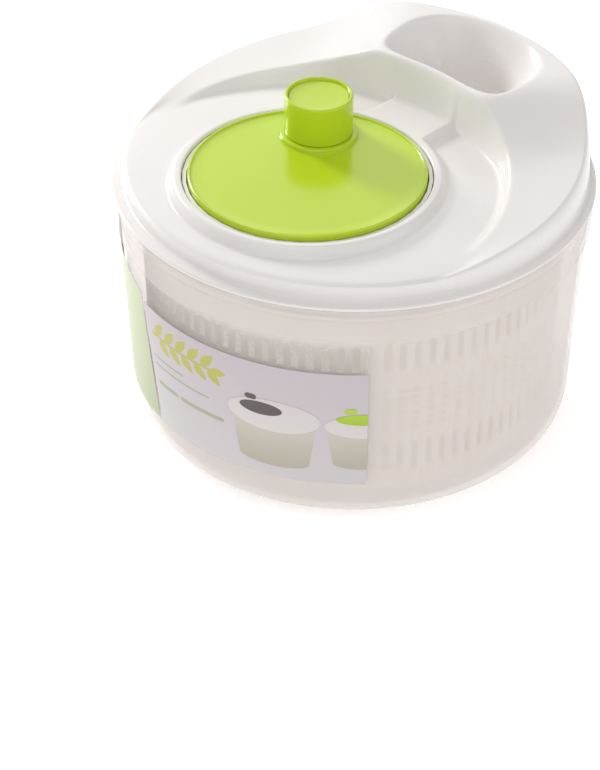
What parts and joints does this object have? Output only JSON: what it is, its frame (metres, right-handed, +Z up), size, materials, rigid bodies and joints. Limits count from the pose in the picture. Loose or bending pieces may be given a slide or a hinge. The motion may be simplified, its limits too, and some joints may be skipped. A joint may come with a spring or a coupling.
{
  "type": "salad spinner",
  "caption": "Hand-cranked salad spinner: frosted bowl, slotted straining basket, and a lid with a geared crank disc, turning knob and filling funnel.",
  "frame": {"origin": "centre of the bowl's foot, on the surface it stands on", "axes": "+Z up, +Y towards the filling funnel in the lid, so the crank turns about a vertical axis 36 mm towards -Y"},
  "size_m": [0.24, 0.24, 0.174],
  "materials": {
    "frosted_polypropylene": "frosted translucent polypropylene",
    "natural_polypropylene": "natural polypropylene",
    "white_polypropylene": "glossy moulded",
    "lime_abs": "glossy moulded",
    "printed_film": "printed film",
    "acetal": "moulded acetal",
    "plated_steel": "zinc plated"
  },
  "bodies": {
    "bowl_base": {"bowl": "frosted_polypropylene", "label": "printed_film"},
    "bearing": {"bearing_cup": "acetal"},
    "strainer": {"basket": "natural_polypropylene"},
    "lid": {"lid_shell": "white_polypropylene", "gear_tray": "white_polypropylene", "tray_screw_1": "plated_steel", "tray_screw_2": "plated_steel", "tray_screw_3": "plated_steel", "tray_screw_4": "plated_steel"},
    "crank": {"crank_disc": "lime_abs", "ring_gear": "acetal", "ring_screw_1": "plated_steel", "ring_screw_2": "plated_steel", "ring_screw_3": "plated_steel", "crank_washer": "plated_steel", "crank_screw": "plated_steel", "knob_spindle": "acetal", "knob_screw": "plated_steel"},
    "knob": {"knob_grip": "lime_abs", "knob_cap": "lime_abs"},
    "drive": {"pinion": "acetal", "pinion_washer": "plated_steel", "driver": "white_polypropylene", "driver_washer": "plated_steel", "driver_screw": "plated_steel"}
  },
  "joints": [
    {"name": "lid_lift", "type": "slide", "parent": "bowl_base", "child": "lid", "axis": [0, 0, 1], "range_m": [0, 0.26]},
    {"name": "basket_lift", "type": "slide", "parent": "bowl_base", "child": "bearing", "axis": [0, 0, 1], "range_m": [0, 0.13]},
    {"name": "basket_spin", "type": "hinge", "parent": "bearing", "child": "strainer", "pos_m": [0, 0, 0], "axis": [0, 0, 1], "continuous": true},
    {"name": "drive_spin", "type": "hinge", "parent": "lid", "child": "drive", "pos_m": [0, 0, 0.138], "axis": [0, 0, 1], "continuous": true},
    {"name": "crank_spin", "type": "hinge", "parent": "lid", "child": "crank", "pos_m": [0, -0.0332, 0.1512], "axis": [0, 0, 1], "continuous": true},
    {"name": "knob_spin", "type": "hinge", "parent": "crank", "child": "knob", "pos_m": [-0.0201, -0.0042, 0.1546], "axis": [0, 0, 1], "continuous": true}
  ],
  "couplings": [
    {"joint": "basket_lift", "follows": "lid_lift", "ratio": 0.5},
    {"joint": "drive_spin", "follows": "basket_spin", "ratio": 1},
    {"joint": "crank_spin", "follows": "basket_spin", "ratio": 0.25}
  ]
}
